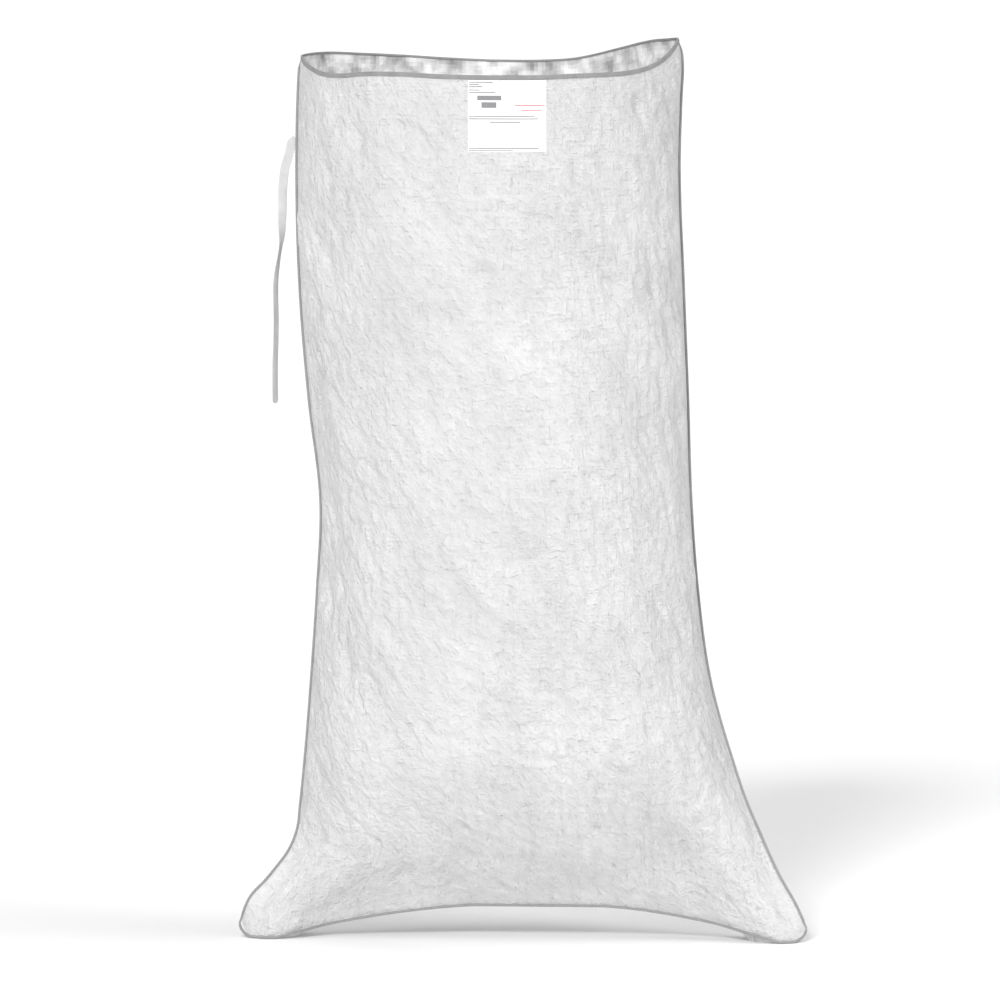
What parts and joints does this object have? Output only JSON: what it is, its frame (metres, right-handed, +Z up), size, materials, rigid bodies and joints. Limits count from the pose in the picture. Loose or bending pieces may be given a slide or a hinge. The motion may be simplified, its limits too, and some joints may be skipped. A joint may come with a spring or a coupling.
{
  "type": "open woven building sack",
  "caption": "Empty woven sack for cement, sand or rubble, standing open: bound round mouth, corded edge seam, blank label and a hanging tie ribbon.",
  "frame": {"origin": "centre of the object's box on the floor, without the tie ribbon", "axes": "+Z up, +X to the right of the labelled front, which faces -Y"},
  "size_m": [0.699, 0.4556, 1.1083],
  "materials": {
    "woven_cloth": "white woven polypropylene tapes, softly crinkled",
    "binding_tape": "mid grey folded tape",
    "seam_cord": "mid grey overlocked cord",
    "label_cloth": "smooth white patch with thin plain rules",
    "ribbon_tape": "light grey limp ribbon"
  },
  "bodies": {
    "root": {"sack_body": "woven_cloth", "mouth_binding": "binding_tape", "edge_seam": "seam_cord", "label": "label_cloth", "tie_ribbon": "ribbon_tape"}
  },
  "joints": []
}
